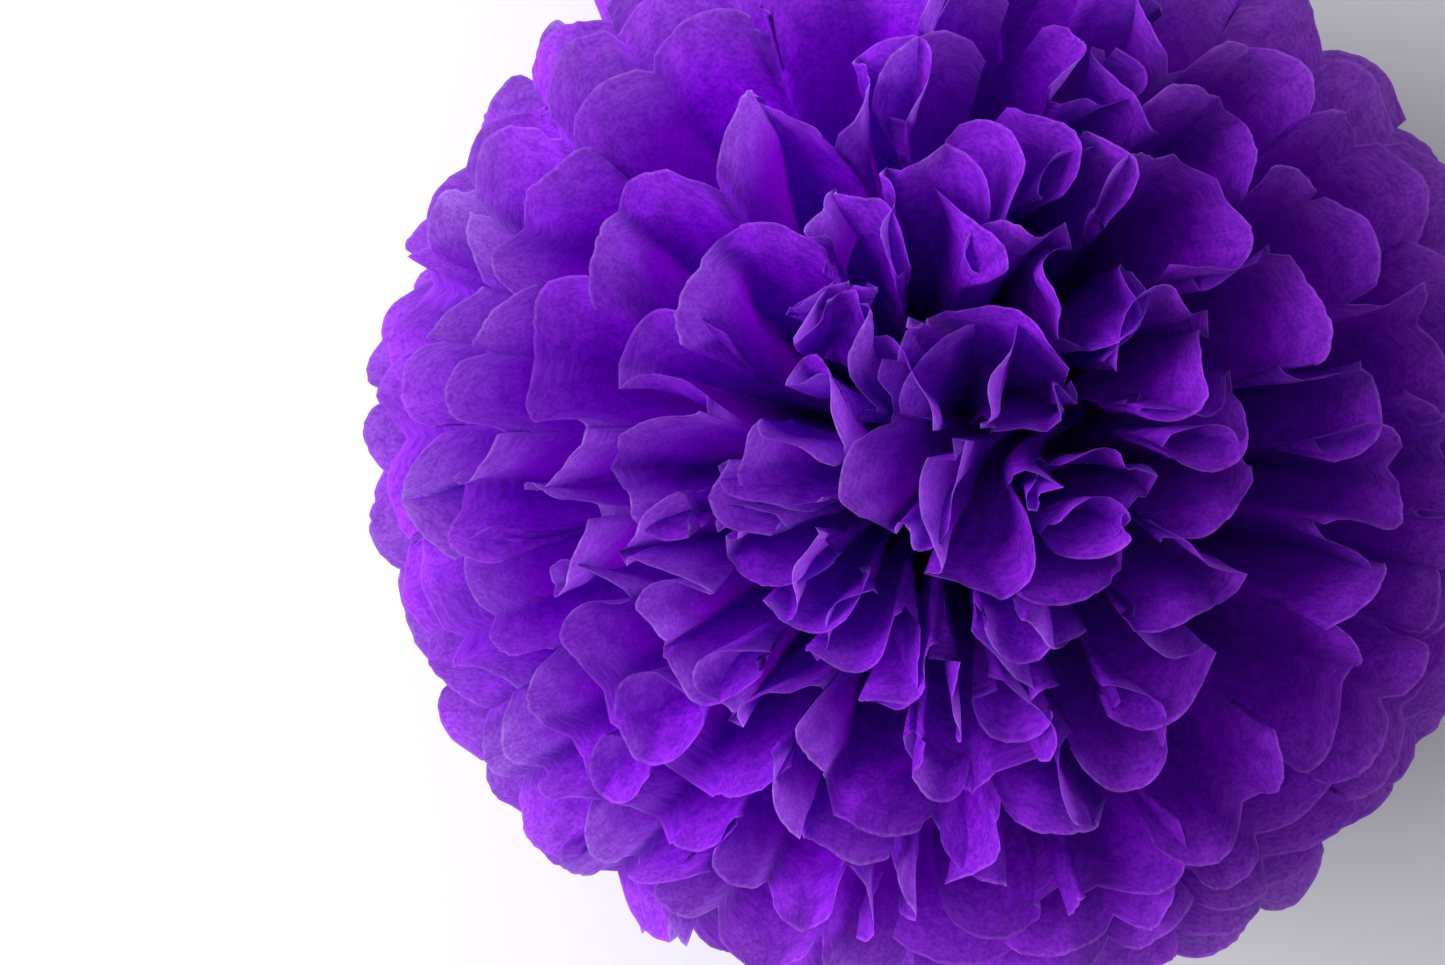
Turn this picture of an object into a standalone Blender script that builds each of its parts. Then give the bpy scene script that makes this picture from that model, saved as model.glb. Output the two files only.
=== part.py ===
"""A tissue paper pom pom: twelve pleated sheets tied round the middle and fanned out into a ball on a table."""

import math

import bmesh
import bpy
import numpy as np

# Sheets, in metres. Flat, one is PLEATS * PLEAT_WIDTH by 2 * PETAL_LENGTH, with a row of petals at both ends.
PLEATS = 20  # accordion pleats across a sheet, each with one petal at either end
PLEAT_WIDTH = 0.027
PETAL_LENGTH = 0.150  # from the tie to the crown of a petal
SCALLOP_DEPTH = 0.011  # from the crown of a petal down to the notches beside it
SCALLOP_POINTS = 3  # on the round end of a petal, between its notches
PAPER = 0.00004
LEANS = [8, 20, 32, 45, 57, 69, 81, 94, 108, 123, 139, 157]  # each sheet's angle from straight up, in degrees

# The waist, where the wire ties the sheets
WAIST_WIDTH = 0.010  # across the bunched pleats
WAIST_STEP = 0.0010  # from one sheet to the next in the bunch
WAIST_HALF = 0.0012  # half the length that lies under the wire
BUNCHED = 4  # pleats that gather at one point of the waist
WIRE_RADIUS = 0.0003
WIRE_GAP = 0.0004  # between the wire and the paper
WIRE_BEND = 0.0015  # radius of the loop's corners
BEND_POINTS = 4
TAIL_LENGTH = 0.012  # the wire's two ends, twisted together
TAIL_START = 0.0012  # from the loop to the first twist
TAIL_TURNS = 1.5
TAIL_POINTS = 10
TAIL_RADIUS = 0.00045  # from the tail's middle line to that of each end

# How the fans open
SLIT = math.radians(0.5)  # half the angle between a sheet's two fans
CLOSING = 0.7  # how far the two fans close the gap that the wire leaves between them, out at the petals
NEST = 0.095  # up to this far from the tie, the pleats of all sheets lie in each other
NEST_SHARE = 0.47  # a pleat's half height there, at most, as a share of the room to the next sheet
NEST_STEEP = 3.0  # and a pleat's whole height there, at most, over its width from outside
PETAL_STEEP = 3.2  # the same at the petals
LEAST_OPEN, MOST_OPEN = 0.17, 0.97  # a pleat's width from outside, as a share of its real width
MEAN_OPEN = 0.8  # the most that the mean of those shares can be
OPEN_SPREAD = 2.2  # low for a mix of shut and open pleats, high for even ones
EVEN_BELOW = math.radians(60)  # nearer a pole than this, pleats are spread more evenly
SEAM_SWING = math.radians(9)  # how far the line between two fans strays at the petals
GROUP = 0.030  # neighbouring petals within this distance curl alike
OUTWARD_CURL = 0.008  # of the petals halfway up and down, away from the poles
OWN_CURL = 0.85  # a petal's own curl, as a share of the room to the next sheet
LEAN_SWAY = math.radians(3.5)  # of whole groups of petals, the same in all sheets
LEAN_WAVES = (2, 3, 5, 7)  # how often it goes in and out round the ball
LEAN_FADE = math.radians(30)  # the sway grows from nothing at the poles to its whole size here
INNER_SHARE = 0.3  # an inner fold's distance from the pole, at least, as a share of its sheet's own
SWAY_SIZE = 0.0024  # of a smooth random shift that bends all sheets together
SWAY_WAVES, SWAY_SHORT, SWAY_LONG = 5, 0.090, 0.160
SWAY_REACH = 0.060  # it is weaker this near the line from pole to pole
SEED = 5

# How the ball rests
CORE_HEIGHT = 0.115  # the tie's height over the table
PRESS_HEIGHT = 0.015  # petals that hang lower than this over the table bend outward along it
FLAT_FROM, FLAT_TO = 0.045, -0.015  # heights between which the pleats near the table flatten out
CLING = 0.0008  # the lowest sheet's petals lie on the table where they come nearer than this
CLEAR = 0.0016  # and those of the other sheets stay this far over it

TISSUE_COLOUR = (0.08, 0.0, 0.35, 1.0)
WIRE_COLOUR = (0.55, 0.55, 0.57, 1.0)

SHEETS = len(LEANS)
NOTCH = PETAL_LENGTH - SCALLOP_DEPTH
FAN = math.pi - 2 * SLIT
FOLDS = PLEATS + 1
STATIONS = [-NOTCH, -NEST, -WAIST_HALF, WAIST_HALF, NEST, NOTCH]  # where a sheet's folds have points


def smooth(t):
    t = np.clip(t, 0.0, 1.0)
    return t * t * (3 - 2 * t)


def level(sheet):
    """The sheet's height at the waist, over the tie's middle."""
    return WAIST_STEP * ((SHEETS - 1) / 2 - sheet)


def room(sheet):
    """The angle from the sheet to the nearer of its neighbours."""
    near = [abs(LEANS[sheet] - LEANS[other]) for other in (sheet - 1, sheet + 1) if 0 <= other < SHEETS]
    return math.radians(min(near))


def flowing(rng, places, reach):
    """Random values from -1 to 1 that change smoothly along the places."""
    knots = np.arange(-3, math.ceil(places.max() / reach) + 4)
    values = rng.uniform(-1, 1, len(knots))
    near = np.exp(-2 * (places[:, None] / reach - knots) ** 2)
    return np.clip(1.5 * (near * values).sum(axis=1) / near.sum(axis=1), -1, 1)


def half_heights(rng, mean):
    """How far each fold stands to one side, in pleat widths, for pleats that are open by this share on average."""
    raw = rng.beta(mean * OPEN_SPREAD, (1 - mean) * OPEN_SPREAD, FOLDS) + 0.02
    scale = 1.0
    for _ in range(60):
        halves = np.sqrt(1 - np.clip(raw * scale, LEAST_OPEN, MOST_OPEN) ** 2) / 2
        scale *= mean / np.sqrt(1 - (halves[1:] + halves[:-1]) ** 2).mean()
    return halves


def fold_numbers(sheet, side):
    """Azimuths, heights across the sheet and curls of one fan's folds, out at the petals."""
    rng = np.random.default_rng([SEED, sheet, side])
    reach = NOTCH * math.sin(math.radians(LEANS[sheet]))
    swings = np.random.default_rng([SEED, sheet]).uniform(-SEAM_SWING, SEAM_SWING, 2)
    start, end = SLIT - math.pi / 2 + swings[0], math.pi / 2 - SLIT + swings[1]
    if side:
        start, end = math.pi / 2 + SLIT + swings[1], 3 * math.pi / 2 - SLIT + swings[0]
    halves = half_heights(rng, min((end - start) * reach / (PLEATS * PLEAT_WIDTH), MEAN_OPEN))
    widths = np.sqrt(1 - (halves[1:] + halves[:-1]) ** 2)
    widths /= widths.mean()
    widths = 1 + (widths - 1) * min(1, math.sin(math.radians(LEANS[sheet])) / math.sin(EVEN_BELOW))
    turns = start + np.concatenate([[0], np.cumsum(widths)]) / PLEATS * (end - start)
    heights = np.minimum(halves * PLEAT_WIDTH, PETAL_STEEP / 2 * reach * FAN / PLEATS)
    free = np.maximum(room(sheet) * PETAL_LENGTH / 2 - heights, 0)
    curls = OWN_CURL * free * flowing(rng, (turns - start) * reach, GROUP)
    curls += OUTWARD_CURL * math.sin(2 * math.radians(LEANS[sheet]))
    return turns, heights, curls


def lean_sway(turns):
    """How much farther the sheets lean at each azimuth."""
    rng = np.random.default_rng(SEED)
    total = 0.0
    for n in LEAN_WAVES:
        size = rng.uniform(0.3, 1.0) / math.sqrt(n)
        total = total + size * np.cos(n * turns + rng.uniform(0, 2 * math.pi))
    return LEAN_SWAY * total


def swayed(points, away):
    """The points, shifted by one smooth random field that is the same for all sheets."""
    rng = np.random.default_rng(SEED + 1)
    size = SWAY_SIZE * smooth(away / PETAL_LENGTH)
    size = size * (0.3 + 0.7 * smooth(np.hypot(points[:, 0], points[:, 1]) / SWAY_REACH))
    moved = points.copy()
    for axis in range(3):
        for _ in range(SWAY_WAVES):
            wave = rng.normal(size=3)
            wave *= 2 * math.pi / rng.uniform(SWAY_SHORT, SWAY_LONG) / np.linalg.norm(wave)
            phase = rng.uniform(0, 2 * math.pi)
            moved[:, axis] += size * np.sin(points @ wave + phase)
    return moved


def on_table(points, sheet, up):
    """The points over the table, with what would hang too low bent outward along it."""
    points = points + (0, 0, CORE_HEIGHT)
    low = np.maximum(PRESS_HEIGHT - points[:, 2], 0)
    drop = np.where(low < 2 * PRESS_HEIGHT, low - low**2 / (4 * PRESS_HEIGHT), PRESS_HEIGHT)
    reach = np.maximum(np.hypot(points[:, 0], points[:, 1]), WAIST_HALF)
    points[:, :2] *= (1 + (low - drop) / reach)[:, None]
    points[:, 2] += low - drop
    if sheet == SHEETS - 1:
        points[:, 2] = np.where(points[:, 2] < CLING, up, points[:, 2])
    else:
        points[:, 2] = np.maximum(points[:, 2], CLEAR + up)
    return points


def fold_points(sheet, side, fold, length, up):
    """Points on the folds of one fan: which fold, how far from the tie and how far up in the paper's wall."""
    own, heights, curls = (numbers[fold] for numbers in fold_numbers(sheet, side))
    lean = math.radians(LEANS[sheet])
    pitch = FAN / PLEATS * length * math.sin(lean)
    share = np.clip((length - NEST) / (NOTCH - NEST), 0, 1)
    even = (fold / PLEATS - 0.5) * FAN + math.pi * side
    turns = even + (own - even) * share
    nested = min(NEST_SHARE * room(sheet), NEST_STEEP / 2 * FAN / PLEATS * math.sin(lean)) * NEST
    height = nested * np.minimum(length / NEST, 1) * (1 - share) + heights * share
    out = (-1.0) ** fold * height + curls * smooth((length - NEST) / (PETAL_LENGTH - NEST))
    out *= smooth((CORE_HEIGHT + length * math.cos(lean) - FLAT_TO) / (FLAT_FROM - FLAT_TO))

    fade = min(lean / LEAN_FADE, (math.pi - lean) / LEAN_FADE, 1)
    lean = lean + lean_sway(turns) * np.minimum(length / NEST, 1) * fade
    out = np.where(np.cos(lean) > 0, np.maximum(out, (INNER_SHARE - 1) * length * np.tan(lean)), out)
    out -= up * np.hypot(1, 2 * height / pitch)
    reach = length * np.sin(lean) + out * np.cos(lean)
    height = level(sheet) + length * np.cos(lean) - out * np.sin(lean)
    points = np.stack([reach * np.cos(turns), reach * np.sin(turns), height], axis=-1)
    points[:, 0] += WAIST_HALF * (1 - 2 * side) * (1 - CLOSING * np.minimum(length / NEST, 1))
    return on_table(swayed(points, length), sheet, up)


def folded(sheet, flat):
    """Where points of the flat sheet end up. X is the length across the pleats, Y along them from the tie."""
    across, along, up = flat[:, 0] / PLEAT_WIDTH, flat[:, 1], flat[:, 2]
    bunch = (np.round(across) + BUNCHED // 2) // BUNCHED * BUNCHED / PLEATS
    places = np.stack([along, (bunch - 0.5) * WAIST_WIDTH, CORE_HEIGHT + level(sheet) + up], axis=-1)
    for side in (0, 1):
        here = along > 2 * WAIST_HALF if side == 0 else along < -2 * WAIST_HALF
        turned = across[here] if side == 0 else PLEATS - across[here]
        fold = np.minimum(turned.astype(int), PLEATS - 1)
        near = fold_points(sheet, side, fold, np.abs(along[here]), up[here])
        far = fold_points(sheet, side, fold + 1, np.abs(along[here]), up[here])
        places[here] = near + (far - near) * (turned - fold)[:, None]
    return places


def petal_end(share):
    """Length from the tie to a petal's round end, at this share of the way from notch to notch."""
    radius = ((PLEAT_WIDTH / 2) ** 2 + SCALLOP_DEPTH**2) / (2 * SCALLOP_DEPTH)
    return PETAL_LENGTH - radius + math.sqrt(radius**2 - ((share - 0.5) * PLEAT_WIDTH) ** 2)


def flat_sheet():
    """The sheet before folding, with its paper's thickness and with round petals at both ends."""
    bm = bmesh.new()
    bmesh.ops.create_grid(bm, x_segments=PLEATS, y_segments=len(STATIONS) - 1, size=0.5)
    for v in bm.verts:
        v.co.x = (v.co.x + 0.5) * PLEATS
        v.co.y = STATIONS[round((v.co.y + 0.5) * (len(STATIONS) - 1))]
    for column, method in ((0, "FIXED"), (1, "ALTERNATE")):
        pleats = [f for f in bm.faces if len(f.verts) == 4 and int(f.calc_center_median().x) % 2 == column]
        bmesh.ops.triangulate(bm, faces=pleats, quad_method=method)
    middle = (NEST + NOTCH) / 2
    ends = [e for e in bm.edges if min(abs(v.co.y) for v in e.verts) > middle]
    bmesh.ops.subdivide_edges(bm, edges=ends, cuts=SCALLOP_POINTS)
    for v in bm.verts:
        if abs(v.co.y) > middle:
            v.co.y = math.copysign(petal_end(v.co.x % 1.0), v.co.y)
    bmesh.ops.scale(bm, vec=(PLEAT_WIDTH, 1, 1), verts=bm.verts)
    bmesh.ops.triangulate(bm, faces=bm.faces)
    wall = bmesh.ops.extrude_face_region(bm, geom=bm.faces[:] + bm.edges[:] + bm.verts[:], use_keep_orig=True)
    top = [v for v in wall["geom"] if isinstance(v, bmesh.types.BMVert)]
    bmesh.ops.translate(bm, vec=(0, 0, PAPER), verts=top)
    return bm


def tissue_sheet(sheet, material):
    """One sheet, folded and bunched at the waist."""
    bm = flat_sheet()
    places = folded(sheet, np.array([v.co for v in bm.verts]))
    for v, place in zip(bm.verts, places):
        v.co = place
    bmesh.ops.remove_doubles(bm, verts=bm.verts, dist=PAPER / 10)
    bmesh.ops.recalc_face_normals(bm, faces=bm.faces)
    mesh = bpy.data.meshes.new(f"tissue_sheet_{sheet + 1:02d}")
    bm.to_mesh(mesh)
    bm.free()
    return add_object(mesh, material)


def wire_line():
    """The wire's middle line: one twisted end, the loop round the waist, the other twisted end."""
    gap = WIRE_GAP + WIRE_RADIUS
    side, top = WAIST_WIDTH / 2 + gap, level(0) + gap
    loop = []
    for n, (y, z) in enumerate(((side, -top), (-side, -top), (-side, top), (side, top))):
        y, z = y - math.copysign(WIRE_BEND, y), z - math.copysign(WIRE_BEND, z)
        for i in range(BEND_POINTS):
            turn = -(n + i / (BEND_POINTS - 1)) * math.pi / 2
            loop.append((0.0, y + WIRE_BEND * math.cos(turn), z + WIRE_BEND * math.sin(turn)))
    tail = []
    for i in range(TAIL_POINTS):
        turn = TAIL_TURNS * 2 * math.pi * i / (TAIL_POINTS - 1)
        y = side + TAIL_START + TAIL_LENGTH * i / (TAIL_POINTS - 1)
        tail.append((TAIL_RADIUS * math.sin(turn), y, -TAIL_RADIUS * math.cos(turn)))
    other = [(-x, y, -z) for x, y, z in tail]
    return tail[::-1] + loop + other


def centre_tie(material):
    """The wire round the bunched sheets, with its ends twisted together."""
    curve = bpy.data.curves.new("centre_tie", "CURVE")
    curve.dimensions = "3D"
    curve.bevel_depth = WIRE_RADIUS
    curve.bevel_resolution = 1
    curve.use_fill_caps = True
    line = wire_line()
    spline = curve.splines.new("POLY")
    spline.points.add(len(line) - 1)
    for point, place in zip(spline.points, line):
        point.co = (*place, 1.0)
    made = add_object(curve, material)
    made.location.z = CORE_HEIGHT
    return made


def add_object(data, material):
    data.materials.append(material)
    made = bpy.data.objects.new(data.name, data)
    bpy.context.scene.collection.objects.link(made)
    return made


def new_material(name, colour, roughness, metallic):
    material = bpy.data.materials.new(name)
    material.use_nodes = True
    shader = material.node_tree.nodes["Principled BSDF"]
    shader.inputs["Base Color"].default_value = colour
    shader.inputs["Roughness"].default_value = roughness
    shader.inputs["Metallic"].default_value = metallic
    return material


def centre_on_origin(sheets, parts):
    """Hangs all parts on one empty, placed so that the middle of the sheets is over the origin."""
    corners = np.array([v.co for made in sheets for v in made.data.vertices])
    middle = (corners.min(axis=0) + corners.max(axis=0)) / 2
    holder = bpy.data.objects.new("ball", None)
    bpy.context.scene.collection.objects.link(holder)
    holder.location = (-middle[0], -middle[1], 0)
    for made in parts:
        made.parent = holder


def main():
    for old in list(bpy.data.objects):
        bpy.data.objects.remove(old)
    tissue = new_material("violet_tissue", TISSUE_COLOUR, 0.85, 0.0)
    wire = new_material("tie_wire", WIRE_COLOUR, 0.35, 1.0)
    sheets = [tissue_sheet(sheet, tissue) for sheet in range(SHEETS)]
    centre_on_origin(sheets, sheets + [centre_tie(wire)])


main()
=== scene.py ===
import math

import bmesh
import bpy
import numpy as np
from mathutils import Matrix, Vector


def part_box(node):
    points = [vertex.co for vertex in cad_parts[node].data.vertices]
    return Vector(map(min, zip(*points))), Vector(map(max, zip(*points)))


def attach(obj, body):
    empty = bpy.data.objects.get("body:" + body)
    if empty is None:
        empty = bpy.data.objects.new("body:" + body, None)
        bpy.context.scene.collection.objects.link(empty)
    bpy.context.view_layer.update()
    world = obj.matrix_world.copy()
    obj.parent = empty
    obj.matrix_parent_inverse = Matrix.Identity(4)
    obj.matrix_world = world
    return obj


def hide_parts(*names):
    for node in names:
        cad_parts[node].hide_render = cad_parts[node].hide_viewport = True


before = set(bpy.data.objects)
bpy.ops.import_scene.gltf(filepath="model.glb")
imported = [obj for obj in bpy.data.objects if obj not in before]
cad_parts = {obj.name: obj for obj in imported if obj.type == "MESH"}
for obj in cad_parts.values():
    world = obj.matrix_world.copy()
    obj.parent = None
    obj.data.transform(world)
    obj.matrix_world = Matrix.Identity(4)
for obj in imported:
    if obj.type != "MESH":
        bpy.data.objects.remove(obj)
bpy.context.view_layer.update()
scene = bpy.context.scene
print("frame loaded")

# Camera: nearly straight down, with the ball's middle and its top at these pixels of the 1445 x 965 picture.
camera = {
    "width": 1445,
    "height": 965,
    "ballMiddle": (936, 454),
    "ballTop": (985, 487),
    "middleHeight": 0.118,
    "radius": 0.152,
    "distance": 0.65,
    "pixel": 0.000266,
    "sensor": 36,
    "nearest": 0.05,
    "farthest": 20,
}


def sightSlopes(pixel, focal):
    # how steeply the sight line of a pixel leaves the picture's middle, to the right and down
    return [(p - size / 2) / focal for p, size in zip(pixel, (camera["width"], camera["height"]))]


def addCamera():
    data = bpy.data.cameras.new("camera")
    made = bpy.data.objects.new("camera", data)
    scene.collection.objects.link(made)
    scene.camera = made
    focal = camera["distance"] / camera["pixel"]
    data.sensor_width = camera["sensor"]
    data.lens = camera["sensor"] * focal / camera["width"]
    data.clip_start = camera["nearest"]
    data.clip_end = camera["farthest"]
    middle = sightSlopes(camera["ballMiddle"], focal)
    top = sightSlopes(camera["ballTop"], focal)
    away = camera["distance"]
    near = away - camera["radius"]
    upX = (top[0] * near - middle[0] * away) / camera["radius"]
    upY = -(top[1] * near - middle[1] * away) / camera["radius"]
    up = Vector((upX, upY, math.sqrt(1 - upX**2 - upY**2)))
    right = (Vector((1, 0, 0)) - upX * up).normalized()
    front = up.cross(right)
    toCamera = Matrix((right, front, up)).transposed()
    place = Vector((middle[0] * away, -middle[1] * away, -away))
    ball = Vector((0, 0, camera["middleHeight"]))
    toWorld = toCamera.inverted()
    made.matrix_world = Matrix.Translation(ball - toWorld @ place) @ toWorld.to_4x4()


addCamera()

# Tissue sheets. Lengths in metres, as in the CAD model.
tissue = {
    "pleats": 20,
    "pleatWidth": 0.027,
    "length": 0.150,
    "scallop": 0.011,
    "leans": [12, 24, 35, 46, 57, 69, 81, 94, 106, 118, 130, 142],
    "coreHeight": 0.115,
    "waistHalf": 0.0012,
    "waistWidth": 0.010,
    "waistStep": 0.0010,
    "waistReach": 0.022,
    "bunched": 4,
    "seed": 12,
}
sheets = len(tissue["leans"])

# Growth: each fan is a curve on a sphere round the tie, and the curves unfold as the sphere grows.
growth = {
    # points per pleat, the spheres' radii, and where a pleat reaches its full width
    "columns": 6,
    "start": 0.060,
    "end": 0.150,
    "step": 0.002,
    "openFrom": 0.080,
    # the folded start: a fan's turn round the tie, and how far its folds rise and drop
    "fan": math.radians(177),
    "depth": 0.36,
    "endDepth": 0.30,
    "poleShare": 0.62,
    # near points push each other away, less so toward the top
    "rounds": 12,
    "near": 0.85,
    "sight": 1.25,
    "push": 0.10,
    "most": 0.12,
    "weights": (0.3, 1.7),
    "crowding": 0.30,
    "crowdFrom": 0.6,
    # the top is drawn together at the pole
    "pull": 0.0008,
    "pullFrom": 0.80,
    "pullOver": 0.15,
    "pole": 0.05,
    # the paper's stiffness, the least opening of a pleat, and the gap between a sheet's two fans
    "panel": 0.45,
    "fold": 0.10,
    "opening": 0.35,
    "passes": 3,
    "ease": 0.25,
    "endGap": 0.03,
    "rimGap": 0.012,
    "rimFrom": 4,
    "closing": 0.7,
    # the table under the lowest petals, and the pleats that lie on it
    "clear": 0.0016,
    "lift": 0.008,
    "lying": [(4, 5), (10, 11), (15, 16)],
    # a slow drift that makes the tiers uneven
    "flow": 0.0003,
    "waves": 14,
    "waveFrom": 3.0,
    "waveTo": 9.0,
    "softened": 2,
}
tiny = 1e-9
points = tissue["pleats"] * growth["columns"] + 1


def smooth(t):
    t = np.clip(t, 0.0, 1.0)
    return t * t * (3 - 2 * t)


def lengthsOf(vectors):
    return np.maximum(np.linalg.norm(vectors, axis=-1, keepdims=True), tiny)


def unit(vectors):
    return vectors / lengthsOf(vectors)


def onSphere(polar, turn):
    return np.stack([np.sin(polar) * np.cos(turn), np.sin(polar) * np.sin(turn), np.cos(polar)], -1)


def zigzag():
    along = np.arange(points) / growth["columns"]
    pleat = np.minimum(along.astype(int), tissue["pleats"] - 1)
    return along, (-1.0) ** pleat * (1 - 2 * (along - pleat))


def nestedCurves(reach):
    # every fan's curve where the pleats of all sheets still lie in each other
    along, zig = zigzag()
    curves = []
    for sheet, lean in enumerate(np.radians(tissue["leans"])):
        pitch = growth["fan"] / tissue["pleats"] * math.sin(lean)
        real = math.sqrt((tissue["pleatWidth"] / reach) ** 2 - pitch**2)
        above = growth["endDepth"] if sheet == sheets - 1 else growth["depth"]
        below = growth["endDepth"] if sheet == 0 else growth["depth"]
        rise = min(above, growth["poleShare"] * lean)
        drop = min(below, growth["poleShare"] * (math.pi - lean))
        share = min(1, real / (rise + drop)) / 2
        polar = lean + share * (drop - rise + zig * (drop + rise))
        for side in (0, 1):
            turn = (along / tissue["pleats"] - 0.5) * growth["fan"] + math.pi * side
            curves.append(onSphere(polar, turn))
    return np.array(curves)


def nearPairs(curves, cutoff):
    # points of different fans, or of different pleats of one fan, that lie near each other
    flat = curves.reshape(-1, 3)
    fan, index = np.divmod(np.arange(len(flat)), points)
    one, other = np.nonzero(np.triu(flat @ flat.T > 1 - cutoff**2 / 2, 1))
    keep = (fan[one] != fan[other]) | (np.abs(index[one] - index[other]) > growth["columns"])
    return one[keep], other[keep]


def pushed(curves, pairs, limits, strength, most):
    # near points push each other away, and the top ones are drawn together at the pole
    flat = curves.reshape(-1, 3)
    one, other = pairs
    gap = flat[other] - flat[one]
    far = lengthsOf(gap)[:, 0]
    step = gap * (np.clip(1 - far / limits, 0, 1) * strength / far)[:, None]
    moves = np.stack([np.bincount(other, s, len(flat)) - np.bincount(one, s, len(flat)) for s in step.T], -1)
    moves *= np.minimum(1, most / lengthsOf(moves))
    toward = -flat * flat[:, 2:3]
    toward[:, 2] += 1
    pull = growth["pull"] * smooth((flat[:, 2] - growth["pullFrom"]) / growth["pullOver"])
    moves += toward / np.maximum(lengthsOf(toward), growth["pole"]) * pull[:, None]
    return curves + moves.reshape(curves.shape)


def joinedEnds(near, far, limit):
    # draws the ends of a sheet's two fans together where they lie farther apart than the limit
    gap = far - near
    size = lengthsOf(gap)
    fix = gap * (growth["ease"] * np.maximum(size - limit, 0) / size)
    near += fix
    far -= fix


def keptLong(curves, rest):
    # the paper keeps its width, no pleat shuts, and a sheet's two fans stay near each other
    for start in (0, 1) * growth["passes"]:
        near, far = curves[:, start:-1:2], curves[:, start + 1 :: 2]
        gap = far - near
        fix = gap * (0.5 - 0.5 * rest / lengthsOf(gap))
        near += fix
        far -= fix
    columns = growth["columns"]
    folds = np.arange(columns, points - 1, columns)
    gap = curves[:, folds + columns // 2] - curves[:, folds - columns // 2]
    size = lengthsOf(gap)
    fix = gap * (growth["ease"] * np.maximum(growth["opening"] * columns * rest - size, 0) / size)
    curves[:, folds + columns // 2] += fix
    curves[:, folds - columns // 2] -= fix
    limit = np.where(np.arange(sheets) < growth["rimFrom"], growth["endGap"], growth["rimGap"])[:, None]
    joinedEnds(curves[::2, -1], curves[1::2, 0], limit)
    joinedEnds(curves[1::2, -1], curves[::2, 0], limit)
    return unit(curves)


def floors():
    # how low each point may lie, from the tie's height: on the table only at the lowest sheet's petals
    zig = zigzag()[1]
    low = np.tile(growth["lift"] * (1 - zig) / 2 - tissue["coreHeight"], (2 * sheets, 1))
    low[:-2] += growth["clear"]
    for start, end in growth["lying"]:
        low[-2:, start * growth["columns"] : end * growth["columns"] + 1] = -tissue["coreHeight"]
    return low


def overTable(curves, low):
    # lifts points that lie too low, and keeps them on the sphere
    high = np.maximum(curves[:, :, 2], low)
    flat = np.maximum(np.hypot(curves[:, :, 0], curves[:, :, 1]), tiny)
    wide = np.where(high > curves[:, :, 2], np.sqrt(np.maximum(1 - high**2, 0)) / flat, 1)
    return np.dstack([curves[:, :, 0] * wide, curves[:, :, 1] * wide, high])


def driftWaves(rng):
    # a slow random current over the sphere: its waves, their directions of flow and their phases
    waves = growth["waves"]
    wave = unit(rng.normal(size=(waves, 3)))
    wave *= rng.uniform(growth["waveFrom"], growth["waveTo"], waves)[:, None]
    flow = rng.normal(size=(waves, 3)) * growth["flow"] / math.sqrt(waves)
    phase = rng.uniform(0, 2 * math.pi, waves)
    return wave, flow, phase


def pointWeights(rng, fans):
    # how strongly each point pushes, changing smoothly along its fan
    knots = rng.uniform(*growth["weights"], (fans, tissue["pleats"] // 2 + 2))
    places = np.arange(points) / growth["columns"] / 2
    return np.array([np.interp(places, np.arange(len(row)), row) for row in knots]).ravel()


def grownCurves():
    rng = np.random.default_rng(tissue["seed"])
    curves = nestedCurves(growth["start"])
    wave, flow, phase = driftWaves(rng)
    weights = pointWeights(rng, len(curves))
    isPanel = np.arange(1, points - 1) % growth["columns"] > 0
    stiff = np.where(isPanel, growth["panel"], growth["fold"])[:, None]
    low = floors()
    begun = np.linalg.norm(curves[:, 1:] - curves[:, :-1], axis=2).mean(axis=1) * growth["start"]
    reaches = np.arange(growth["start"], growth["end"] + growth["step"] / 2, growth["step"])
    states = []
    for reach in reaches:
        share = min(1, (reach - growth["start"]) / (growth["openFrom"] - growth["start"]))
        rest = ((1 - share) * begun + share * tissue["pleatWidth"] / growth["columns"]) / reach
        spacing = growth["near"] * 4 * math.pi / (rest.sum() * (points - 1))
        one, other = nearPairs(curves, growth["sight"] * spacing)
        strength = growth["push"] * spacing * (weights[one] + weights[other]) / 2
        crowd = smooth((curves[:, :, 2].ravel() - growth["crowdFrom"]) / (1 - growth["crowdFrom"]))
        limits = spacing * (1 - growth["crowding"] * (crowd[one] + crowd[other]) / 2)
        for _ in range(growth["rounds"]):
            drift = np.sin(curves @ wave.T + phase) @ flow
            curves = pushed(curves, (one, other), limits, strength, growth["most"] * spacing) + drift
            curves[:, 1:-1] += stiff * ((curves[:, 2:] + curves[:, :-2]) / 2 - curves[:, 1:-1])
            curves = overTable(keptLong(curves, rest[:, None, None]), low / reach)
        states.append(curves)
    states = np.array(states)
    for _ in range(growth["softened"]):
        states[1:-1] = (states[:-2] + 2 * states[1:-1] + states[2:]) / 4
    return reaches, states


reaches, states = grownCurves()
print("curves grown")

# Cloth: the grid of one sheet's fan, with its rows in millimetres from the tie, and the petals' own bends.
cloth = {
    "columns": 18,
    "rows": [1.2, 8, 16, 26, 38, 50, 60, 68, 76, 84, 92, 98, 104, 110, *range(112, 152, 2)],
    "softened": 4,
    "knee": 0.110,
    "curlFrom": 0.098,
    "curl": math.radians(60),
    "topCurl": 0.4,
    "curlPower": 1.5,
    "ownShare": 0.6,
    "wideShare": 0.4,
    "wideReach": 0.035,
    "outward": math.radians(24),
    "crumple": 0.00035,
    "crumpleFrom": 0.06,
    "crumpleOver": 0.06,
    "creases": 18,
    "creaseTurn": 0.5,
    "creaseWave": (0.007, 0.030),
    "lopsided": 0.35,
    "rough": 0.00018,
    "uneven": 0.0006,
    "unevenReach": 0.35,
    "longer": (-0.0030, 0.0016),
    "least": 0.0003,
}
clothRows = np.array(cloth["rows"])[:, None] / 1000


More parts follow.
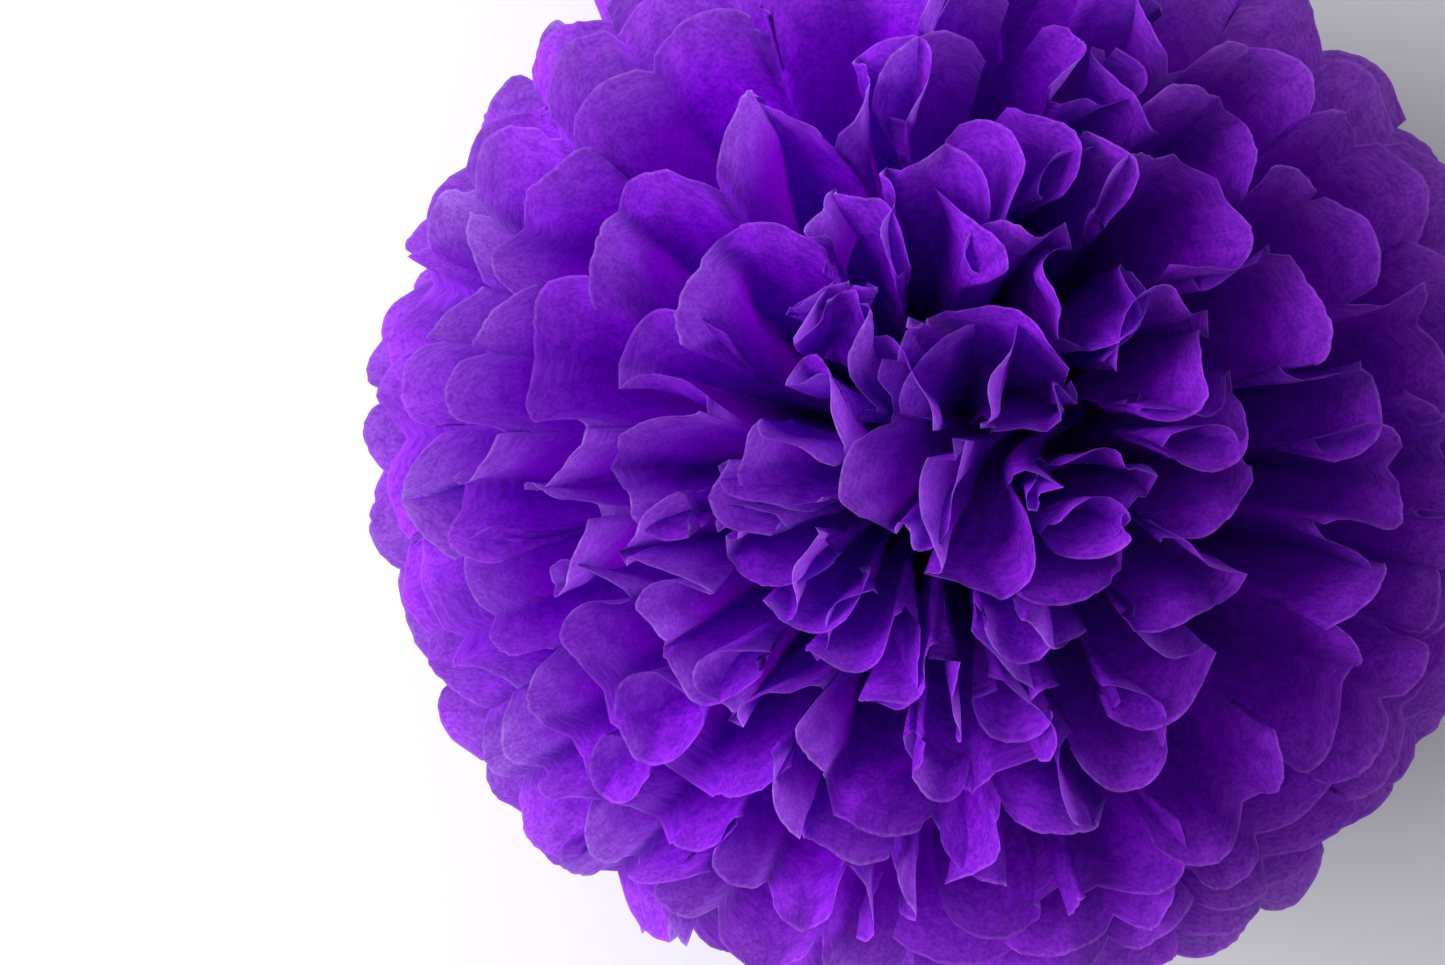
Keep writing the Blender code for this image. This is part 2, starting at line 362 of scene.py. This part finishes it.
def petalEnd(share):
    # length from the tie to a petal's round end, at this share of the way from notch to notch
    radius = ((tissue["pleatWidth"] / 2) ** 2 + tissue["scallop"] ** 2) / (2 * tissue["scallop"])
    return tissue["length"] - radius + np.sqrt(radius**2 - ((share - 0.5) * tissue["pleatWidth"]) ** 2)


def flowing(rng, places, reach):
    # random values from -1 to 1 that change smoothly along the places
    beyond = 3
    sharpness = 2
    gain = 1.5
    knots = np.arange(-beyond, math.ceil(places.max() / reach) + beyond + 1)
    values = rng.uniform(-1, 1, len(knots))
    near = np.exp(-sharpness * (places[:, None] / reach - knots) ** 2)
    return np.clip(gain * (near * values).sum(axis=1) / near.sum(axis=1), -1, 1)


def perPleat(values):
    # one value for each pleat, spread over the pleat's columns
    spread = np.repeat(values, cloth["columns"])
    return np.append(spread, spread[-1])


def petalLengths(rng):
    # how long each column of a fan is, with lopsided petals and the cut's small unevenness
    across = np.arange(tissue["pleats"] * cloth["columns"] + 1) / cloth["columns"]
    share = across % 1.0
    power = np.exp(perPleat(rng.uniform(-cloth["lopsided"], cloth["lopsided"], tissue["pleats"])))
    ends = petalEnd(share**power)
    rough = rng.normal(size=len(ends)) * cloth["rough"]
    rough += flowing(rng, across, cloth["unevenReach"]) * cloth["uneven"]
    return ends + rough + perPleat(rng.uniform(*cloth["longer"], tissue["pleats"])) * np.sin(np.pi * share)


def rowReaches(lengths):
    # each grid point's distance from the tie: the rows beyond the knee spread out to the column's length
    beyond = np.maximum(clothRows - cloth["knee"], 0) / (tissue["length"] - cloth["knee"])
    return np.minimum(clothRows, cloth["knee"]) + beyond * (lengths - cloth["knee"])


def waistLevel(sheet):
    return tissue["waistStep"] * ((sheets - 1) / 2 - sheet)


def fanGrid(sheet, side, rng):
    # points of one fan, rows from the tie outward by columns across the pleats
    fan = 2 * sheet + side
    across = np.arange(tissue["pleats"] * cloth["columns"] + 1) / cloth["columns"]
    reach = rowReaches(petalLengths(rng))
    column = across * growth["columns"]
    low = np.minimum(column.astype(int), points - 2)
    part = (column - low)[:, None]
    # just short of the last state, so that there is always a next one to mix with
    lastStage = len(reaches) - 1.001
    grid = np.zeros((*reach.shape, 3))
    for i, row in enumerate(reach):
        if row[0] < growth["start"]:
            curve = nestedCurves(row[0])[fan]
            grid[i] = curve[low] * (1 - part) + curve[low + 1] * part
            continue
        at = np.clip((row - growth["start"]) / growth["step"], 0, lastStage)
        stage = at.astype(int)
        mix = (at - stage)[:, None]
        for extra, weight in ((0, 1 - mix), (1, mix)):
            here = states[stage + extra, fan, low] * (1 - part) + states[stage + extra, fan, low + 1] * part
            grid[i] += here * weight
    for _ in range(cloth["softened"]):
        grid[:, 1:-1] = (grid[:, :-2] + 2 * grid[:, 1:-1] + grid[:, 2:]) / 4
    grid = unit(grid) * reach[:, :, None]
    grid[:, :, 2] += waistLevel(sheet) * (1 - smooth(reach / growth["start"]))
    gap = 1 - growth["closing"] * np.minimum(reach / growth["start"], 1)
    grid[:, :, 0] += tissue["waistHalf"] * (1 - 2 * side) * gap
    return grid, reach, across


def normals(grid):
    return unit(np.cross(np.gradient(grid, axis=1), np.gradient(grid, axis=0)))


def curled(grid, reach, across, lean, rng):
    # bends the petals' outer ends, most in the middle of a petal and least on its folds
    normal = normals(grid)
    outward = unit(grid)
    down = unit(outward * outward[:, :, 2:3] - np.array([0, 0, 1.0]))
    facing = (normal * down).sum(axis=2)
    own = perPleat(rng.uniform(-1, 1, tissue["pleats"])) * np.sin(np.pi * (across % 1.0))
    wide = flowing(rng, across * tissue["pleatWidth"], cloth["wideReach"])
    curl = cloth["curl"] * (cloth["topCurl"] + (1 - cloth["topCurl"]) * math.sin(lean))
    amount = curl * (cloth["ownShare"] * own + cloth["wideShare"] * wide) + cloth["outward"] * facing
    share = np.clip((reach - cloth["curlFrom"]) / (tissue["length"] - cloth["curlFrom"]), 0, 1)
    angle = amount * share ** cloth["curlPower"]
    steps = np.diff(grid, axis=0)
    size = np.linalg.norm(steps, axis=2, keepdims=True)
    middle = (angle[1:] + angle[:-1])[:, :, None] / 2
    grid = grid.copy()
    grid[1:] = grid[0] + np.cumsum(steps * np.cos(middle) + normal[1:] * size * np.sin(middle), axis=0)
    return grid


def crumpled(grid, reach, across, rng):
    # small soft creases, longer along the pleats than across them
    x = across[None, :] * tissue["pleatWidth"]
    total = 0
    for _ in range(cloth["creases"]):
        turn = rng.normal(0, cloth["creaseTurn"])
        wave = 2 * math.pi / rng.uniform(*cloth["creaseWave"])
        phase = rng.uniform(0, 2 * math.pi)
        total = total + np.sin(wave * (x * math.cos(turn) + reach * math.sin(turn)) + phase)
    size = cloth["crumple"] / math.sqrt(cloth["creases"])
    size = size * smooth((reach - cloth["crumpleFrom"]) / cloth["crumpleOver"])
    return grid + normals(grid) * (total * size)[:, :, None]


def waistPlaces(sheet, side, across):
    # where each column crosses the tie, with the pleats gathered in bunches
    bunch = tissue["bunched"]
    gathered = (np.round(across) + bunch // 2) // bunch * bunch / tissue["pleats"]
    if side:
        gathered = 1 - gathered
    even = np.ones(len(across))
    along = even * tissue["waistHalf"] * (1 - 2 * side)
    return np.stack([along, (gathered - 0.5) * tissue["waistWidth"], even * waistLevel(sheet)], -1)


def sheetPlaces(sheet):
    # where the points of one flat sheet's grid end up: rows along the strip, columns across the pleats
    halves = []
    for side in (0, 1):
        rng = np.random.default_rng([tissue["seed"], sheet, side])
        grid, reach, across = fanGrid(sheet, side, rng)
        grid = curled(grid, reach, across, math.radians(tissue["leans"][sheet]), rng)
        grid = crumpled(grid, reach, across, rng)
        waist = waistPlaces(sheet, side, across)
        share = smooth((reach - tissue["waistHalf"]) / tissue["waistReach"])[:, :, None]
        grid = waist * (1 - share) + grid * share + (0, 0, tissue["coreHeight"])
        grid[..., 2] = np.maximum(grid[..., 2], cloth["least"] * (sheets - sheet))
        along = np.broadcast_to(clothRows, reach.shape)
        halves.append((grid[:, ::-1] if side else grid, along))
    places = np.concatenate([halves[1][0][::-1], halves[0][0]])
    along = np.concatenate([-halves[1][1][::-1], halves[0][1]])
    return places, along


def addSheet(sheet, material, middle):
    # one flat grid folded into its places, with the flat sheet's own coordinates as its UV map
    places, along = sheetPlaces(sheet)
    rows, columns, _ = places.shape
    bm = bmesh.new()
    bmesh.ops.create_grid(bm, x_segments=columns - 1, y_segments=rows - 1, size=0.5)
    mesh = bpy.data.meshes.new(f"tissue_{sheet + 1:02d}")
    bm.to_mesh(mesh)
    bm.free()
    flat = np.zeros(len(mesh.vertices) * 3)
    mesh.vertices.foreach_get("co", flat)
    flat = flat.reshape(-1, 3)
    column = np.round((flat[:, 0] + 0.5) * (columns - 1)).astype(int)
    row = np.round((flat[:, 1] + 0.5) * (rows - 1)).astype(int)
    mesh.vertices.foreach_set("co", (places[row, column] - middle).ravel())
    uv = mesh.uv_layers.new(name="flat")
    corner = np.zeros(len(mesh.loops), dtype=int)
    mesh.loops.foreach_get("vertex_index", corner)
    spread = np.stack([column / cloth["columns"] * tissue["pleatWidth"], along[row, column]], -1)
    uv.data.foreach_set("uv", spread[corner].ravel())
    mesh.materials.append(material)
    mesh.shade_smooth()
    mesh.update()
    made = bpy.data.objects.new(mesh.name, mesh)
    scene.collection.objects.link(made)
    return made


def nodeMaker(material):
    # a function that adds a node to the emptied material, with its inputs set or linked
    material.use_nodes = True
    tree = material.node_tree
    tree.nodes.clear()

    def add(kind, inputs=None, **values):
        node = tree.nodes.new(kind)
        for name, value in values.items():
            setattr(node, name, value)
        for name, value in (inputs or {}).items():
            socket = node.inputs[name]
            if isinstance(value, bpy.types.NodeSocket):
                tree.links.new(value, socket)
            else:
                socket.default_value = value
        return node

    return add


# Paper: its colours, a painted highlight that pales it toward a petal's tip, the cut edge and the ball's
# rim, and its grain.
paper = {
    "dark": (0.100, 0.0004, 0.40, 1),
    "light": (0.250, 0.0010, 0.70, 1),
    # painted highlight colour for the surface, mixed in toward petal tips, cut edges and the ball's rim
    "tipHighlight": (0.37, 0.048, 0.74, 1),
    "shine": (0.28, 0.001, 0.68, 1),
    # painted highlight colour for the light passing through, mixed in at the same places
    "shineHighlight": (0.54, 0.30, 0.88, 1),
    # where the painted highlight starts, and how strong it gets at a petal's tip, toward the ball's rim and
    # on the cut edge
    "tipHighlightFrom": 0.128,
    "tipHighlightShare": 0.26,
    "rimFrom": 0.100,
    "rimHighlightShare": 0.42,
    "edgeHighlightFrom": 0.1490,
    "edgeHighlightShare": 0.60,
    "through": 0.42,
    "roughness": 0.60,
    "specular": 0.03,
    "cloud": {"Scale": 260.0, "Detail": 4.0, "Roughness": 0.62},
    "speck": {"Scale": 1000.0, "Detail": 2.0, "Roughness": 0.6},
    "darkBelow": 0.18,
    "lightAbove": 0.32,
    "mottle": {"From Min": 0.12, "From Max": 0.38, "To Min": 0.5, "To Max": 1.5},
    "crease": {"Scale": 260.0, "Detail": 2.0},
    "creaseStretch": (1.0, 0.16, 1.0),
    "bump": {"Strength": 0.30, "Distance": 0.0006},
}
wire = {
    "colour": (0.56, 0.56, 0.58, 1),
    "grain": {"Scale": 900.0, "Detail": 3.0},
    "roughness": {"To Min": 0.25, "To Max": 0.5},
}


def rising(add, value, start, share, kind="SMOOTHSTEP"):
    # from 0 where the value is at the start to the share where it is a petal's full length
    limits = {"Value": value, "From Min": start, "From Max": tissue["length"], "To Max": share}
    return add("ShaderNodeMapRange", limits, interpolation_type=kind).outputs[0]


def combined(add, operation, *values, **more):
    return add("ShaderNodeMath", dict(enumerate(values)), operation=operation, **more).outputs[0]


def blended(add, share, first, second):
    return add("ShaderNodeMix", {0: share, 6: first, 7: second}, data_type="RGBA").outputs[2]


def tissueMaterial():
    material = bpy.data.materials.new("violet_tissue_paper")
    add = nodeMaker(material)
    place = add("ShaderNodeUVMap", uv_map="flat").outputs["UV"]
    cloud = add("ShaderNodeTexNoise", {"Vector": place, **paper["cloud"]}).outputs["Fac"]
    speck = add("ShaderNodeTexNoise", {"Vector": place, **paper["speck"]}).outputs["Fac"]
    mixed = combined(add, "MULTIPLY", cloud, speck)
    ramp = add("ShaderNodeValToRGB", {"Fac": mixed})
    ramp.color_ramp.elements[0].position = paper["darkBelow"]
    ramp.color_ramp.elements[0].color = paper["dark"]
    ramp.color_ramp.elements[1].position = paper["lightAbove"]
    ramp.color_ramp.elements[1].color = paper["light"]
    along = combined(add, "ABSOLUTE", add("ShaderNodeSeparateXYZ", {0: place}).outputs["Y"])
    # painted highlight toward a petal's tip and along its cut edge, read from the flat sheet's coordinates
    tipHighlight = rising(add, along, paper["tipHighlightFrom"], paper["tipHighlightShare"])
    edgeHighlight = rising(add, along, paper["edgeHighlightFrom"], paper["edgeHighlightShare"], "LINEAR")
    # painted highlight toward the ball's rim, from a point's distance to the ball's axis
    spot = add("ShaderNodeTexCoord").outputs["Object"]
    flat = add("ShaderNodeVectorMath", {0: spot, 1: (1.0, 1.0, 0.0)}, operation="MULTIPLY").outputs["Vector"]
    wide = add("ShaderNodeVectorMath", {0: flat}, operation="LENGTH").outputs["Value"]
    rimHighlight = rising(add, wide, paper["rimFrom"], paper["rimHighlightShare"])
    # the painted highlight, broken up by the paper's grain, pales the surface colour and the light passing
    # through
    paintedHighlight = combined(add, "ADD", combined(add, "ADD", tipHighlight, edgeHighlight), rimHighlight)
    mottled = add("ShaderNodeMapRange", {"Value": mixed, **paper["mottle"]}).outputs[0]
    paintedHighlight = combined(add, "MULTIPLY", paintedHighlight, mottled, use_clamp=True)
    colour = blended(add, paintedHighlight, ramp.outputs["Color"], paper["tipHighlight"])
    shine = blended(add, paintedHighlight, paper["shine"], paper["shineHighlight"])
    stretch = add("ShaderNodeMapping", {"Vector": place, "Scale": paper["creaseStretch"]}).outputs["Vector"]
    crease = add("ShaderNodeTexNoise", {"Vector": stretch, **paper["crease"]}).outputs["Fac"]
    height = add("ShaderNodeBump", {"Height": combined(add, "ADD", crease, mixed), **paper["bump"]})
    surface = add("ShaderNodeBsdfPrincipled", {
        "Base Color": colour, "Roughness": paper["roughness"], "Specular IOR Level": paper["specular"],
        "Normal": height.outputs["Normal"]})
    through = add("ShaderNodeBsdfTranslucent", {"Color": shine, "Normal": height.outputs["Normal"]})
    both = add("ShaderNodeMixShader", {0: paper["through"], 1: surface.outputs[0], 2: through.outputs[0]})
    add("ShaderNodeOutputMaterial", {"Surface": both.outputs[0]})
    return material


def wireMaterial():
    material = bpy.data.materials.new("bright_tie_wire")
    add = nodeMaker(material)
    place = add("ShaderNodeTexCoord").outputs["Object"]
    noise = add("ShaderNodeTexNoise", {"Vector": place, **wire["grain"]})
    rough = add("ShaderNodeMapRange", {"Value": noise.outputs["Fac"], **wire["roughness"]})
    shader = add("ShaderNodeBsdfPrincipled", {
        "Base Color": wire["colour"], "Metallic": 1.0, "Roughness": rough.outputs["Result"]})
    add("ShaderNodeOutputMaterial", {"Surface": shader.outputs[0]})
    return material


# The tie's loop is centred on the sheets' own middle, and its lower end in Y is this far from it.
tieReach = 0.0060
tieBox = np.array(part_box("centre_tie"))
middle = np.array([-(tieBox[0][0] + tieBox[1][0]) / 2, -tieBox[0][1] - tieReach, 0])
tissuePaper = tissueMaterial()
for number in range(sheets):
    piece = addSheet(number, tissuePaper, middle)
    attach(piece, "root")
    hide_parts(f"tissue_sheet_{number + 1:02d}")
print("sheets made")

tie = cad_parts["centre_tie"]
tie.data.materials.clear()
tie.data.materials.append(wireMaterial())

# Table and lights.
table = {
    "size": 3.0,
    "segments": 8,
    "colour": (0.78, 0.77, 0.80, 1),
    "cloud": (0.75, 0.74, 0.78, 1),
    "noise": {"Scale": 6.0, "Detail": 2.0},
    "roughness": 0.55,
    "specular": 0.3,
}
lights = {
    "window": {"place": (-1.10, 0.06, 0.65), "target": (0, 0, 0.10), "size": (1.1, 1.1), "power": 32},
    "ceiling": {"place": (0.0, -0.1, 1.8), "target": (0, 0, 0), "size": (2.0, 2.0), "power": 6},
    "room": 0.28,
    "roomColour": (0.95, 0.95, 1.0, 1),
}


def addTable():
    bm = bmesh.new()
    segments = table["segments"]
    bmesh.ops.create_grid(bm, x_segments=segments, y_segments=segments, size=table["size"] / 2)
    mesh = bpy.data.meshes.new("table_top")
    bm.to_mesh(mesh)
    bm.free()
    material = bpy.data.materials.new("white_table")
    add = nodeMaker(material)
    place = add("ShaderNodeTexCoord").outputs["Object"]
    noise = add("ShaderNodeTexNoise", {"Vector": place, **table["noise"]})
    ramp = add("ShaderNodeValToRGB", {"Fac": noise.outputs["Fac"]})
    ramp.color_ramp.elements[0].color = table["cloud"]
    ramp.color_ramp.elements[1].color = table["colour"]
    shader = add("ShaderNodeBsdfPrincipled", {
        "Base Color": ramp.outputs["Color"], "Roughness": table["roughness"],
        "Specular IOR Level": table["specular"]})
    add("ShaderNodeOutputMaterial", {"Surface": shader.outputs[0]})
    mesh.materials.append(material)
    made = bpy.data.objects.new("table_top", mesh)
    scene.collection.objects.link(made)


def addAreaLight(name, light):
    data = bpy.data.lights.new(name, "AREA")
    data.shape = "RECTANGLE"
    data.size, data.size_y = light["size"]
    data.energy = light["power"]
    made = bpy.data.objects.new(name, data)
    made.location = light["place"]
    away = Vector(light["target"]) - Vector(light["place"])
    made.rotation_euler = away.to_track_quat("-Z", "Y").to_euler()
    scene.collection.objects.link(made)


addTable()
addAreaLight("window_light", lights["window"])
addAreaLight("ceiling_light", lights["ceiling"])
world = bpy.data.worlds.new("room")
scene.world = world
world.use_nodes = True
background = world.node_tree.nodes["Background"]
background.inputs["Color"].default_value = lights["roomColour"]
background.inputs["Strength"].default_value = lights["room"]
scene.view_settings.view_transform = "Standard"
scene.view_settings.look = "None"
print("scene lit")
